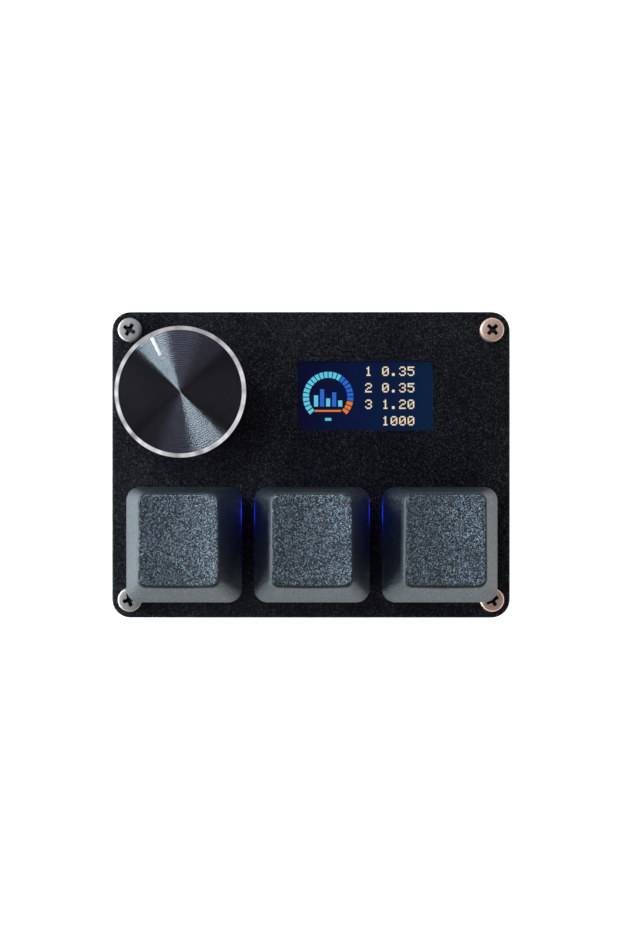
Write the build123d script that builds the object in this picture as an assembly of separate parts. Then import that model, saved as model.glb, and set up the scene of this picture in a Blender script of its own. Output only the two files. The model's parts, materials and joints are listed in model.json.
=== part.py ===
"""Macro keypad: three sprung keys, a knob that turns and presses, and a small colour screen.

The case is a stack. A black plate carries the switches, a wall frame and a bottom plate close it,
and eight screws in four brass standoffs hold it together. All sizes are millimetres. The origin is
under the middle of the case, on the surface that the feet stand on: +X right, +Y to the rear, +Z up.
"""

from build123d import *
from math import cos, radians, sin
import os

# ---- driving dimensions ------------------------------------------------------------------------

case_width = 64.0
case_depth = 49.2
corner_radius = 3.0
edge_break = 0.2

foot_height = 1.8
bottom_plate_thickness = 1.5
frame_height = 10.0
top_plate_thickness = 1.5
wall = 2.0
screw_inset = 3.0

key_pitch = 20.0
key_row_x = 0.15
key_row_y = -12.5
key_travel = 3.5
key_names = ("key_1", "key_2", "key_3")

knob_x = -19.85
knob_y = 11.1
knob_diameter = 20.0
knob_height = 9.0
knob_top_above_plate = 10.6
knob_travel = 0.5
pointer_angle = 27.8  # degrees from +Y towards -X

screen_x = 8.75
screen_y = 11.1
window_width = 21.8
window_depth = 11.1

usb_x = 0.0

# ---- levels, from the desk up --------------------------------------------------------------------

bottom_plate_z = foot_height
frame_z = bottom_plate_z + bottom_plate_thickness
plate_z = frame_z + frame_height
deck_z = plate_z + top_plate_thickness  # upper face of the top plate

board_thickness = 1.6
board_top_z = deck_z - 5.0  # the switch standard: plate face to board face
board_z = board_top_z - board_thickness

screw_x = case_width / 2 - screw_inset
screw_y = case_depth / 2 - screw_inset
key_places = [(key_row_x + (i - 1) * key_pitch, key_row_y) for i in range(3)]
corner_places = [(sx * screw_x, sy * screw_y) for sy in (1, -1) for sx in (-1, 1)]

# ---- helpers ---------------------------------------------------------------------------------------

on_floor = (Align.CENTER, Align.CENTER, Align.MIN)


def block(width, depth, low, high, x=0.0, y=0.0):
    """A box centred on x, y that stands from level low to level high."""
    return Pos(x, y, low) * Box(width, depth, high - low, align=on_floor)


def post(radius, low, high, x=0.0, y=0.0):
    """A round post centred on x, y that stands from level low to level high."""
    return Pos(x, y, low) * Cylinder(radius, high - low, align=on_floor)


def rounded_block(width, depth, radius, low, high, x=0.0, y=0.0):
    """A box with rounded upright edges."""
    outline = Pos(x, y, low) * RectangleRounded(width, depth, radius)
    return extrude(outline, high - low)


def tapered_block(low_size, high_size, low, high, shift_y=0.0):
    """A four-sided taper with flat walls, whose upper end is shifted along Y."""
    views = []
    for plane, a, b, shift in zip((Plane.XZ, Plane.YZ), low_size, high_size, (0.0, shift_y)):
        outline = Polyline((-a / 2, low), (a / 2, low), (shift + b / 2, high), (shift - b / 2, high),
                           close=True)
        views.append(extrude(plane * make_face(outline), 2 * max(low_size), both=True))
    return views[0] & views[1]


def slanted_edges(shape):
    """The edges that join the walls of a taper."""
    return shape.edges().filter_by(lambda edge: abs(edge.tangent_at(0.5).Z) > 0.7)


def ring(outer_radius, inner_radius, low, high, x=0.0, y=0.0):
    """A round tube."""
    return post(outer_radius, low, high, x, y) - post(inner_radius, low, high, x, y)


def flatted_post(radius, across_flats, low, high, flats):
    """A round post with one flat (a D) or two flats, at right angles to Y."""
    shape = post(radius, low, high)
    one_side = across_flats - radius if flats == 1 else across_flats / 2
    for side in (1, -1)[:flats]:
        shape -= block(2 * radius, radius, low, high, 0, side * (one_side + radius / 2))
    return shape


# ---- case ------------------------------------------------------------------------------------------

switch_cutout = 14.0
encoder_cutout = (13.0, 12.4)
screw_clearance_radius = 1.1
standoff_across_flats = 3.2
boss_bore_radius = 1.95
boss_radius = 2.7
usb_opening = (9.6, 3.9)
usb_height = 3.26
usb_z = board_z - usb_height / 2  # centre of the socket, under the board
rib_size = (2.4, 1.4)
rib_places = [(-14.0, 1), (14.0, 1), (-14.0, -1), (14.0, -1)]


def plate_blank(low, thickness):
    """A case plate with its four screw holes and broken outer edges."""
    blank = rounded_block(case_width, case_depth, corner_radius, low, low + thickness)
    rims = blank.faces().sort_by(Axis.Z)[0].edges() + blank.faces().sort_by(Axis.Z)[-1].edges()
    blank = chamfer(rims, edge_break)
    for x, y in corner_places:
        blank -= post(screw_clearance_radius, low, low + thickness, x, y)
    return blank


def make_top_plate():
    """The plate that carries the switches, with holes for the encoder body and the screen."""
    plate = plate_blank(plate_z, top_plate_thickness)
    for x, y in key_places:
        plate -= block(switch_cutout, switch_cutout, plate_z, deck_z, x, y)
    plate -= block(*encoder_cutout, plate_z, deck_z, knob_x, knob_y)
    plate -= rounded_block(window_width, window_depth, 0.4, plate_z, deck_z, screen_x, screen_y)
    return plate


def make_middle_frame():
    """The wall between the plates: corner bosses for the standoffs, board ribs and the socket opening."""
    inner_width = case_width - 2 * wall
    inner_depth = case_depth - 2 * wall
    frame = rounded_block(case_width, case_depth, corner_radius, frame_z, plate_z)
    frame -= block(inner_width, inner_depth, frame_z, plate_z)
    for x, y in corner_places:
        frame += post(boss_radius, frame_z, plate_z, x, y)
    for x, side in rib_places:
        depth = rib_size[1]
        frame += block(rib_size[0], depth, frame_z, board_z, x, side * (inner_depth - depth) / 2)
    for x, y in corner_places:
        frame -= post(boss_bore_radius, frame_z, plate_z, x, y)
    mouth = Plane.XZ * Pos(usb_x, usb_z) * RectangleRounded(*usb_opening, usb_opening[1] / 2 - 0.01)
    frame -= extrude(mouth, -case_depth)
    return frame


foot_radii = (3.4, 4.2)
foot_places = [(sx * 23.5, sy * 16.0) for sy in (1, -1) for sx in (-1, 1)]


def make_bottom_plate():
    """The lower plate that closes the case."""
    return plate_blank(bottom_plate_z, bottom_plate_thickness)


def make_rubber_feet():
    """Four stick-on rubber feet that narrow towards the desk."""
    foot = Cone(*foot_radii, foot_height, align=on_floor)
    return Compound([Pos(x, y, 0) * foot for x, y in foot_places])


# ---- fasteners -------------------------------------------------------------------------------------

head_radius = 1.9
head_height = 1.25
head_bevel = 0.3
shank_radius = 0.95
screw_length = 5.0
recess_span = 1.75
recess_width = 0.5
recess_depth = 0.7
plate_screw_turns = (27.0, 45.0, 14.0, 30.0)  # how each cross recess happens to stand, in degrees


def make_screw():
    """A pan-head screw, head up, with the underside of its head at level 0."""
    rim_z, rim_radius = head_height - head_bevel, head_radius - head_bevel
    profile = Polyline((0, -screw_length), (shank_radius, -screw_length), (shank_radius, 0),
                       (head_radius, 0), (head_radius, rim_z), (rim_radius, head_height),
                       (0, head_height), close=True)
    screw = revolve(Plane.XZ * make_face(profile), Axis.Z)
    low = head_height - recess_depth
    screw -= block(recess_span, recess_width, low, head_height)
    return screw - block(recess_width, recess_span, low, head_height)


def make_plate_screws():
    """The four screws in the corners of the top plate."""
    screw = make_screw()
    turned = zip(corner_places, plate_screw_turns)
    return Compound([Pos(x, y, deck_z) * Rot(0, 0, turn) * screw for (x, y), turn in turned])


def make_base_screws():
    """The four screws under the bottom plate."""
    screw = Rot(180, 0, 0) * make_screw()
    return Compound([Pos(x, y, bottom_plate_z) * screw for x, y in corner_places])


def make_standoffs():
    """Four hexagonal brass standoffs, bored through for the screws from both ends."""
    hexagon = Pos(0, 0, frame_z) * RegularPolygon(standoff_across_flats / 2, 6, major_radius=False)
    standoff = extrude(hexagon, frame_height) - post(shank_radius + 0.05, frame_z, plate_z)
    return Compound([Pos(x, y, 0) * standoff for x, y in corner_places])


# ---- switches, one per key, drawn about the key's own axis -----------------------------------------

housing_flange = 15.6
housing_body = 13.9
flange_z = deck_z + 0.9
housing_top_z = deck_z + 6.6
housing_floor_z = board_top_z + 0.6
housing_cavity = 12.0
stem_opening = (7.3, 6.0)
peg_spacing = 5.08
led_offset_y = 5.08

slider_size = (7.0, 5.4)
slider_body = (9.2, 6.8)
slider_top_z = housing_top_z - 0.4  # the shoulder that the cap's socket sits on
slider_stop_z = housing_top_z - 1.02
slider_foot_z = deck_z + 0.8
pole_radius = 1.95
pole_foot_z = housing_floor_z + key_travel + 0.1
spring_seat_z = slider_foot_z + 3.8
magnet_radius = 1.3
magnet_height = 3.0
cross_height = 3.6
cross_bar = (4.05, 1.2)

spring_radius = 2.27
spring_wire = 0.3
spring_turns = 5


def make_housing_base():
    """The lower half of a switch: box, flange, guide ribs, clips, spring seat and board pegs."""
    base = block(housing_body, housing_body, board_top_z, deck_z)
    base += rounded_block(housing_flange, housing_flange, 0.8, deck_z, flange_z)
    base -= block(housing_cavity, housing_cavity, housing_floor_z, flange_z)
    half_x, half_y = slider_body[0] / 2 + 0.08, slider_body[1] / 2 + 0.08
    reach = housing_cavity / 2
    for side in (1, -1):
        middle_x, middle_y = side * (half_x + reach) / 2, side * (half_y + reach) / 2
        base += block(reach - half_x, 3.0, housing_floor_z, flange_z, middle_x, 0)
        for x in (-3.2, 3.2):
            base += block(1.0, reach - half_y, housing_floor_z, flange_z, x, middle_y)
        clip = Polyline((6.95, plate_z - 1.6), (7.3, plate_z - 0.5), (7.3, plate_z - 0.1),
                        (6.95, plate_z - 0.1), close=True)
        wedge = extrude(Plane.YZ * make_face(clip), 2.0, both=True)
        base += wedge if side > 0 else Rot(0, 0, 180) * wedge
        base += post(0.85, board_z + 0.2, board_top_z, side * peg_spacing, 0)
    base += ring(3.15, 2.55, housing_floor_z, housing_floor_z + 0.8)
    base -= block(4.2, 2.2, board_top_z, housing_floor_z, 0, led_offset_y - 0.18)
    return base


def make_housing_top():
    """The clear upper half of a switch: a hollow taper with the stem's opening."""
    shell = tapered_block((housing_flange, housing_flange), (10.6, 10.0), flange_z, housing_top_z)
    shell = fillet(slanted_edges(shell), 1.0)
    shell -= tapered_block((13.6, 13.6), (9.9, 9.2), flange_z, housing_top_z - 1.0)
    return shell - block(*stem_opening, housing_top_z - 1.0, housing_top_z)


def make_stem():
    """The slider: a guided body, the cross that holds the cap, and the hollow pole round the magnet."""
    stem = block(*slider_body, slider_foot_z, slider_stop_z)
    stem += block(*slider_size, slider_stop_z, slider_top_z)
    stem -= post(2.6, slider_foot_z, spring_seat_z)
    stem += post(pole_radius, pole_foot_z, spring_seat_z)
    stem -= post(magnet_radius + 0.03, pole_foot_z, pole_foot_z + 0.1 + magnet_height)
    cross_top = slider_top_z + cross_height
    stem += block(*cross_bar, slider_top_z, cross_top)
    return stem + block(*reversed(cross_bar), slider_top_z, cross_top)


def make_magnet():
    """The round magnet in the foot of the pole."""
    return post(magnet_radius, pole_foot_z + 0.1, pole_foot_z + 0.1 + magnet_height)


def make_spring():
    """A coil of square-section wire between the housing floor and the stem."""
    low, high = housing_floor_z, spring_seat_z
    rise = high - low - spring_wire
    coil = Pos(0, 0, low + spring_wire / 2) * Helix(rise / spring_turns, rise, spring_radius)
    start = Plane(origin=coil @ 0, x_dir=(0, 0, 1), z_dir=coil % 0)
    wire = sweep(start * Rectangle(spring_wire * 0.9, spring_wire), path=coil, is_frenet=True)
    return wire


# ---- keycap ----------------------------------------------------------------------------------------

cap_base = 18.05
cap_top = (12.2, 14.0)
cap_top_shift = 1.3  # the top stands this far behind the middle of the skirt
cap_z = deck_z + 5.0
cap_height = 8.2
cap_corner = 1.7
cap_wall = 1.1
cap_ceiling_z = cap_z + 6.2
dish_radius = 37.0
dish_depth = 0.5
dish_tilt = 1.5  # degrees, so that the front of the top is a little lower
cap_edge_round = 0.45
socket_radius = 2.75
socket_slot = (4.15, 1.3)


def make_keycap():
    """A moulded cap: tapered skirt, scooped top, thin walls, cross socket and stiffening ribs."""
    rim_z = cap_z + cap_height
    spare = 0.6  # the blank stands above the rim, and the scoop cuts it down
    grow = (cap_height + spare) / cap_height
    head = [cap_base + (size - cap_base) * grow for size in cap_top]
    cap = tapered_block((cap_base, cap_base), head, cap_z, rim_z + spare, cap_top_shift * grow)
    cap = fillet(slanted_edges(cap), cap_corner)
    scoop = Rot(90, 0, 0) * Cylinder(dish_radius, 60)
    scoop_z = rim_z - dish_depth + dish_radius
    cap -= Pos(0, cap_top_shift, scoop_z) * Rot(dish_tilt, 0, 0) * scoop
    cap = chamfer(cap.faces().sort_by(Axis.Z)[-1].edges(), cap_edge_round)

    share = (cap_ceiling_z - cap_z) / cap_height
    inner_low = cap_base - 2 * cap_wall
    inner_high = [cap_base + (size - cap_base) * share - 2 * cap_wall - 0.4 for size in cap_top]
    low, high = (inner_low, inner_low), inner_high
    cap -= tapered_block(low, high, cap_z, cap_ceiling_z, cap_top_shift * share)

    socket = post(socket_radius, slider_top_z, cap_ceiling_z)
    socket -= block(*socket_slot, slider_top_z, slider_top_z + cross_height + 0.3)
    socket -= block(*reversed(socket_slot), slider_top_z, slider_top_z + cross_height + 0.3)
    cap += socket
    for side in (1, -1):
        cap += block(3.2, 0.8, cap_ceiling_z - 0.4, cap_ceiling_z, side * 4.2, 0)
    return cap


# ---- encoder, drawn about the knob's axis ----------------------------------------------------------

encoder_body = 11.6
encoder_cover_z = deck_z - 0.5
bush_radius = 3.5
bush_top_z = deck_z + 4.5
shaft_radius = 3.0
shaft_gap = 0.03
shaft_tip_z = deck_z + 9.2
shaft_foot_z = board_top_z + 2.4
shaft_shoulder_z = encoder_cover_z + 0.1
drive_radius = 2.2
drive_flats = 3.4
rotor_z = (board_top_z + 2.2, board_top_z + 3.6)
partition_z = (board_top_z + 1.3, board_top_z + 1.8)
encoder_floor_z = board_top_z + 0.5
dome_height = 0.62
dome_sheet = 0.12
dome_radius = 2.4
plunger_radius = 1.5


def make_encoder_base():
    """The moulded body: a rotor chamber, a partition with the plunger's hole, and the dome's chamber."""
    base = rounded_block(encoder_body, encoder_body, 0.5, board_top_z, encoder_cover_z)
    base -= post(4.9, partition_z[1], encoder_cover_z)
    base -= post(plunger_radius + 0.05, partition_z[0], partition_z[1])
    return base - post(2.7, encoder_floor_z, partition_z[0])


def make_encoder_cover():
    """The folded metal cover: a top with the bush's hole, two side legs and two board tabs."""
    leg_x = encoder_body / 2 + 0.25
    cover = block(2 * leg_x + 0.4, 11.6, encoder_cover_z, deck_z)
    cover -= post(bush_radius + 0.01, encoder_cover_z, deck_z)
    for side in (1, -1):
        cover += block(0.4, 6.0, board_top_z, encoder_cover_z, side * leg_x, 0)
        cover += block(0.4, 2.0, board_z - 0.6, board_top_z, side * leg_x, 0)
    return cover


def make_encoder_bush():
    """The round bush that guides the shaft."""
    bush = ring(bush_radius, shaft_radius + shaft_gap, encoder_cover_z, bush_top_z)
    outer_rim = bush.faces().sort_by(Axis.Z)[-1].edges().sort_by(SortBy.RADIUS)[-1]
    return chamfer(outer_rim, 0.3)


def make_encoder_pins():
    """Five bent contact legs: three at the front and two at the rear."""
    profile = Polyline((5.8, board_top_z + 0.7), (7.4, board_top_z + 0.7), (7.4, board_z - 1.0),
                       (7.0, board_z - 1.0), (7.0, board_top_z + 0.3), (5.8, board_top_z + 0.3),
                       close=True)
    leg = extrude(Plane.YZ * make_face(profile), 0.4, both=True)
    rear = [Pos(x, 0, 0) * leg for x in (-2.5, 2.5)]
    front = [Pos(x, 0, 0) * Rot(0, 0, 180) * leg for x in (-2.5, 0, 2.5)]
    return Compound(rear + front)


def make_encoder_rotor():
    """The wheel that the shaft turns: a flatted hub hole and a ring of shallow code slots."""
    rotor = post(4.7, *rotor_z)
    rotor -= flatted_post(drive_radius + shaft_gap, drive_flats + 2 * shaft_gap, *rotor_z, flats=2)
    for step in range(10):
        slot = block(1.2, 0.5, rotor_z[1] - 0.3, rotor_z[1], 4.1, 0)
        rotor -= Rot(0, 0, 36 * step) * slot
    return rotor


def make_detent_spring():
    """A flat ring spring under the cover, with two pressed noses just above the rotor."""
    ring_low = encoder_cover_z - 0.2
    spring = ring(4.6, 3.7, ring_low, encoder_cover_z - 0.02)
    for side in (1, -1):
        spring += block(0.4, 0.8, rotor_z[1] + 0.05, ring_low, side * 4.15, 0)
    return spring


def make_encoder_dome():
    """The snap dome under the plunger: a thin pressed metal cup, upside down."""
    rise = dome_height - dome_sheet
    crown = dome_radius / 2
    profile = Polyline((dome_radius, 0), (dome_radius, dome_sheet), (crown, dome_height),
                       (0, dome_height), (0, rise), (crown, rise), close=True)
    return Pos(0, 0, encoder_floor_z) * revolve(Plane.XZ * make_face(profile), Axis.Z)


def make_encoder_plunger():
    """The small disc between the shaft's foot and the dome."""
    return post(plunger_radius, encoder_floor_z + dome_height + 0.02, shaft_foot_z)


def make_encoder_shaft():
    """The turned shaft: two flats through the rotor, round in the bush, a D under the knob."""
    shaft = flatted_post(drive_radius, drive_flats, shaft_foot_z, shaft_shoulder_z, flats=2)
    shaft += post(shaft_radius, shaft_shoulder_z, bush_top_z + 0.2)
    shaft += flatted_post(shaft_radius, 4.5, bush_top_z + 0.2, shaft_tip_z, flats=1)
    return shaft


# ---- knob, drawn about its own axis ----------------------------------------------------------------

knob_top_z = deck_z + knob_top_above_plate
knob_z = knob_top_z - knob_height
knob_radius = knob_diameter / 2
knob_chamfer = 0.75
knob_wall = 1.5
knob_roof = 1.2
pointer_inner, pointer_outer = 6.25, 9.2
pointer_width = 0.5
pointer_depth = 0.2
insert_gap = 0.02
hub_radius = 5.0


def pointer_bar():
    """The pointer's slot in the knob's face, as a solid."""
    middle = (pointer_inner + pointer_outer) / 2
    bar = block(pointer_width, pointer_outer - pointer_inner, knob_top_z - pointer_depth, knob_top_z,
                0, middle)
    return Rot(0, 0, pointer_angle) * bar


def make_knob_shell():
    """The turned aluminium shell: a cup with a bright bevelled rim and the pointer's slot."""
    roof_z, bore = knob_top_z - knob_roof, knob_radius - knob_wall
    profile = Polyline((0, roof_z), (bore, roof_z), (bore, knob_z), (knob_radius - 0.3, knob_z),
                       (knob_radius, knob_z + 0.3), (knob_radius, knob_top_z - knob_chamfer),
                       (knob_radius - knob_chamfer, knob_top_z), (0, knob_top_z), close=True)
    return revolve(Plane.XZ * make_face(profile), Axis.Z) - pointer_bar()


def make_knob_insert():
    """The moulded core: a D-bored hub joined to an outer ring by six ribs."""
    low, high = knob_z + 0.4, knob_top_z - knob_roof
    outer = knob_radius - knob_wall - insert_gap
    core = ring(outer, outer - 1.2, low, high) + post(outer - 0.5, high - 1.0, high)
    core += post(hub_radius, low, high)
    for step in range(6):
        rib = block(outer - hub_radius - 0.2, 0.9, low + 1.5, high, (outer + hub_radius - 0.6) / 2, 0)
        core += Rot(0, 0, 60 * step) * rib
    core -= post(bush_radius + 0.3, low, bush_top_z + knob_travel + 0.3)
    bore_low = bush_top_z + knob_travel + 0.3
    core -= flatted_post(shaft_radius + shaft_gap, 4.5 + shaft_gap, bore_low, shaft_tip_z + 0.1, flats=1)
    return core


# ---- screen ----------------------------------------------------------------------------------------

module_length = 27.9
module_depth = 13.5
active_size = (21.7, 10.9)
module_left_margin = 1.6
gasket_thickness = 0.1
glass_thickness = 0.6
tray_thickness = 0.9
glass_top_z = plate_z - gasket_thickness
tray_z = glass_top_z - glass_thickness - tray_thickness
module_x = screen_x - active_size[0] / 2 - module_left_margin + module_length / 2
glass_length = 25.6
glass_x = screen_x - active_size[0] / 2 - 1.2 + glass_length / 2
flex_thickness = 0.15
flex_width = 8.0
connector_size = (3.4, 10.5, 1.2)


def make_screen_panel():
    """The glass of the display."""
    low = glass_top_z - glass_thickness
    return block(glass_length, module_depth - 0.6, low, glass_top_z, glass_x, screen_y)


def make_screen_bezel():
    """The black tray under the glass that holds its light guide, with low end walls."""
    module_end = module_x + module_length / 2
    glass_end = glass_x + glass_length / 2
    tray = block(module_length, module_depth, tray_z, tray_z + tray_thickness, module_x, screen_y)
    shelf_x = (glass_end + 0.1 + module_end) / 2
    top = glass_top_z - 0.2
    shelf = block(module_end - glass_end - 0.1, 2.6, tray_z + tray_thickness, top, shelf_x)
    for side in (1, -1):
        tray += Pos(0, screen_y + side * 5.4, 0) * shelf
    return tray


def make_screen_gasket():
    """The thin frame of tape between the glass and the plate."""
    low, high = glass_top_z, plate_z
    frame = block(glass_length, module_depth - 0.6, low, high, glass_x, screen_y)
    return frame - block(window_width + 0.4, window_depth + 0.4, low, high, screen_x, screen_y)


def make_screen_pad():
    """The foam pad between the board and the display."""
    return block(16.0, 11.0, board_top_z, tray_z, screen_x - 3.0, screen_y)


def connector_place():
    """Where the ribbon's connector stands, from its middle."""
    return module_x + module_length / 2 - 2.6, screen_y


def make_flex_connector():
    """The ribbon socket on the board: a block with a mouth and a raised latch."""
    x, y = connector_place()
    length, width, height = connector_size
    body = block(length, width, board_top_z, board_top_z + height, x, y)
    body -= block(2.0, flex_width + 0.4, board_top_z + 0.35, board_top_z + 0.75, x + 0.7, y)
    return body + block(0.8, width - 1.2, board_top_z + height, board_top_z + height + 0.2, x - 1.0, y)


def make_screen_flex():
    """The ribbon: out of the display's end, round a half turn and back into its connector."""
    start_x = module_x + module_length / 2
    upper_z, lower_z = tray_z + 0.3, board_top_z + 0.55
    bend = (upper_z - lower_z) / 2
    turn_x = start_x + 0.9
    end_x = connector_place()[0] - 0.2
    line = Polyline((start_x, upper_z), (turn_x, upper_z))
    line += RadiusArc((turn_x, upper_z), (turn_x, lower_z), bend)
    line += Polyline((turn_x, lower_z), (end_x, lower_z))
    strip = Plane.XZ * trace(line, flex_thickness)
    return Pos(0, screen_y, 0) * extrude(strip, flex_width / 2, both=True)


# ---- circuit board ---------------------------------------------------------------------------------

board_gap = 0.3
led_window = (3.6, 3.0)


def make_circuit_board():
    """The board: notched round the corner bosses, with holes for pegs, lamps, tabs and legs."""
    width, depth = case_width - 2 * (wall + board_gap), case_depth - 2 * (wall + board_gap)
    board = block(width, depth, board_z, board_top_z)
    for x, y in corner_places:
        board -= post(boss_radius + board_gap, board_z, board_top_z, x, y)
    for x, y in key_places:
        for side in (1, -1):
            board -= post(0.95, board_z, board_top_z, x + side * peg_spacing, y)
        board -= block(*led_window, board_z, board_top_z, x, y + led_offset_y)
    for side in (1, -1):
        tab_x = knob_x + side * (encoder_body / 2 + 0.25)
        board -= block(0.8, 2.4, board_z, board_top_z, tab_x, knob_y)
    for x, side in ((-2.5, 1), (2.5, 1), (-2.5, -1), (0, -1), (2.5, -1)):
        board -= block(1.0, 0.6, board_z, board_top_z, knob_x + x, knob_y + side * 7.2)
    return board


def make_key_leds():
    """Three lamps, hung under the board so that they shine up through it."""
    lamp = block(3.4, 2.8, board_z - 0.5, board_top_z - 0.1) + block(5.4, 2.0, board_z - 0.3, board_z)
    return Compound([Pos(x, y + led_offset_y, 0) * lamp for x, y in key_places])


def make_hall_sensors():
    """Three field sensors under the board, one below each magnet."""
    sensor = block(2.9, 1.3, board_z - 1.1, board_z - 0.1)
    for x, side in ((-0.95, 1), (0.95, 1), (0.0, -1)):
        sensor += block(0.4, 0.6, board_z - 0.25, board_z, x, side * 0.9)
    return Compound([Pos(x, y, 0) * sensor for x, y in key_places])


def make_controller_chip():
    """The square controller with its pin-one corner cut."""
    chip = block(7.0, 7.0, board_z - 0.9, board_z, 7.0, 5.0)
    corner = chip.edges().filter_by(Axis.Z).sort_by(Axis.X)[-1]
    return chamfer(corner, 0.6)


small_parts = [(-4.5, 8.0, 2.9, 1.6, 1.1), (1.5, 9.5, 1.6, 0.8, 0.8), (1.5, 7.5, 1.6, 0.8, 0.8),
               (12.5, 9.0, 0.8, 1.6, 0.8), (14.5, 9.0, 0.8, 1.6, 0.8), (12.5, 1.0, 3.2, 2.5, 0.8),
               (-8.5, 13.5, 1.6, 0.8, 0.8), (8.0, 13.5, 1.6, 0.8, 0.8), (-2.0, 2.0, 0.8, 1.6, 0.8)]


def make_board_parts():
    """The regulator, crystal, resistors and capacitors under the board: x, y, width, depth, height."""
    return Compound([block(w, d, board_z - h, board_z, x, y) for x, y, w, d, h in small_parts])


# ---- USB socket ------------------------------------------------------------------------------------

usb_width = 8.94
usb_sheet = 0.3
usb_length = 7.3
usb_mouth_y = case_depth / 2 - 0.3


def usb_section(width, height, low_y, high_y):
    """A flat-sided oval bar along Y, centred on the socket."""
    outline = Plane.XZ * Pos(usb_x, usb_z) * RectangleRounded(width, height, height / 2 - 0.01)
    return Pos(0, low_y, 0) * extrude(outline, low_y - high_y)


def make_usb_shell():
    """The oval steel shell, open at the mouth, with two board tabs."""
    inner = (usb_width - 2 * usb_sheet, usb_height - 2 * usb_sheet)
    back_y = usb_mouth_y - usb_length
    shell = usb_section(usb_width, usb_height, back_y, usb_mouth_y)
    return shell - usb_section(*inner, back_y, usb_mouth_y)


def make_usb_tongue():
    """The plastic block at the back of the socket and the tongue that carries the contacts."""
    inner_width, inner_height = usb_width - 2 * usb_sheet - 0.04, usb_height - 2 * usb_sheet - 0.04
    back_y = usb_mouth_y - usb_length
    plug = usb_section(inner_width, inner_height, back_y, back_y + 2.2)
    tongue_length = usb_length - 2.2 - 0.6
    middle_y = back_y + 2.2 + tongue_length / 2
    return plug + block(6.7, tongue_length, usb_z - 0.35, usb_z + 0.35, usb_x, middle_y)


# ---- assembly --------------------------------------------------------------------------------------


def all_nodes():
    """Every named piece, in place."""
    nodes = {
        "top_plate": make_top_plate(),
        "middle_frame": make_middle_frame(),
        "bottom_plate": make_bottom_plate(),
        "rubber_feet": make_rubber_feet(),
        "plate_screws": make_plate_screws(),
        "base_screws": make_base_screws(),
        "standoffs": make_standoffs(),
        "circuit_board": make_circuit_board(),
        "key_leds": make_key_leds(),
        "hall_sensors": make_hall_sensors(),
        "controller_chip": make_controller_chip(),
        "board_parts": make_board_parts(),
        "usb_shell": make_usb_shell(),
        "usb_tongue": make_usb_tongue(),
        "screen_panel": make_screen_panel(),
        "screen_bezel": make_screen_bezel(),
        "screen_gasket": make_screen_gasket(),
        "screen_pad": make_screen_pad(),
        "screen_flex": make_screen_flex(),
        "flex_connector": make_flex_connector(),
    }
    about_knob = {
        "encoder_base": make_encoder_base(),
        "encoder_cover": make_encoder_cover(),
        "encoder_bush": make_encoder_bush(),
        "encoder_pins": make_encoder_pins(),
        "encoder_rotor": make_encoder_rotor(),
        "encoder_detent_spring": make_detent_spring(),
        "encoder_dome": make_encoder_dome(),
        "encoder_plunger": make_encoder_plunger(),
        "encoder_shaft": make_encoder_shaft(),
        "knob_shell": make_knob_shell(),
        "knob_insert": make_knob_insert(),
        "knob_pointer": pointer_bar(),
    }
    for name, shape in about_knob.items():
        nodes[name] = Pos(knob_x, knob_y, 0) * shape
    about_key = {
        "cap": make_keycap(),
        "stem": make_stem(),
        "magnet": make_magnet(),
        "spring": make_spring(),
        "housing_top": make_housing_top(),
        "housing_base": make_housing_base(),
    }
    for key, (x, y) in zip(key_names, key_places):
        for part, shape in about_key.items():
            nodes[f"{key}_{part}"] = Pos(x, y, 0) * shape
    return nodes


os.makedirs("parts", exist_ok=True)
for node_name, node_shape in all_nodes().items():
    export_step(node_shape, f"parts/{node_name}.step")
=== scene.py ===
import json
from math import cos, exp, pi, radians, sin, sqrt

import bmesh
import bpy
from mathutils import Matrix, Vector


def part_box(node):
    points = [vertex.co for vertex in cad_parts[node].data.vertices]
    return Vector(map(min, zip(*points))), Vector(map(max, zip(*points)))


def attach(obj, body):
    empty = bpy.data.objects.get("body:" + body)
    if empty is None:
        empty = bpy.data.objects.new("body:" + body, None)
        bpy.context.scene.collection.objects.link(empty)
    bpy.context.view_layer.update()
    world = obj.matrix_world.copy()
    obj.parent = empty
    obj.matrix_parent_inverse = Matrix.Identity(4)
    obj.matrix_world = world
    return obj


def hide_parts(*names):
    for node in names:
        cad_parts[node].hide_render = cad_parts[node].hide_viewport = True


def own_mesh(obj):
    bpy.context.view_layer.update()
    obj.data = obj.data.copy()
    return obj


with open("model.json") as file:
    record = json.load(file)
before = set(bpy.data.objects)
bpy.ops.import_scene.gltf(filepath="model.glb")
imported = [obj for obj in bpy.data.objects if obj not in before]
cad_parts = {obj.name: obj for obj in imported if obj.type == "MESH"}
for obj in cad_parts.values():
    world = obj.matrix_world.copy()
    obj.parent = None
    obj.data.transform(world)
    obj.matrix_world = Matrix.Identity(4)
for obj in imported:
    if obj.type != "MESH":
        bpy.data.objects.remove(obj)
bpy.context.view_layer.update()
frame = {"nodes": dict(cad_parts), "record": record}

mm = 0.001
nodes = frame["nodes"]
keys = ["key_1", "key_2", "key_3"]

# Places that the frame gives
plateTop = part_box("top_plate")[1].z
knobLow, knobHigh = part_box("knob_shell")
knobCentre = (knobLow + knobHigh) / 2
glassLow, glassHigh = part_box("screen_panel")
lampsLow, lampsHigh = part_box("key_leds")
lampRow = (lampsLow.y + lampsHigh.y) / 2
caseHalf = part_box("middle_frame")[1].x


def linear(hexColour, alpha=1.0):
    # sRGB hex to Blender's linear colour
    parts = [int(hexColour[i:i + 2], 16) / 255 for i in (1, 3, 5)]
    return [p / 12.92 if p <= 0.04045 else ((p + 0.055) / 1.055) ** 2.4 for p in parts] + [alpha]


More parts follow.
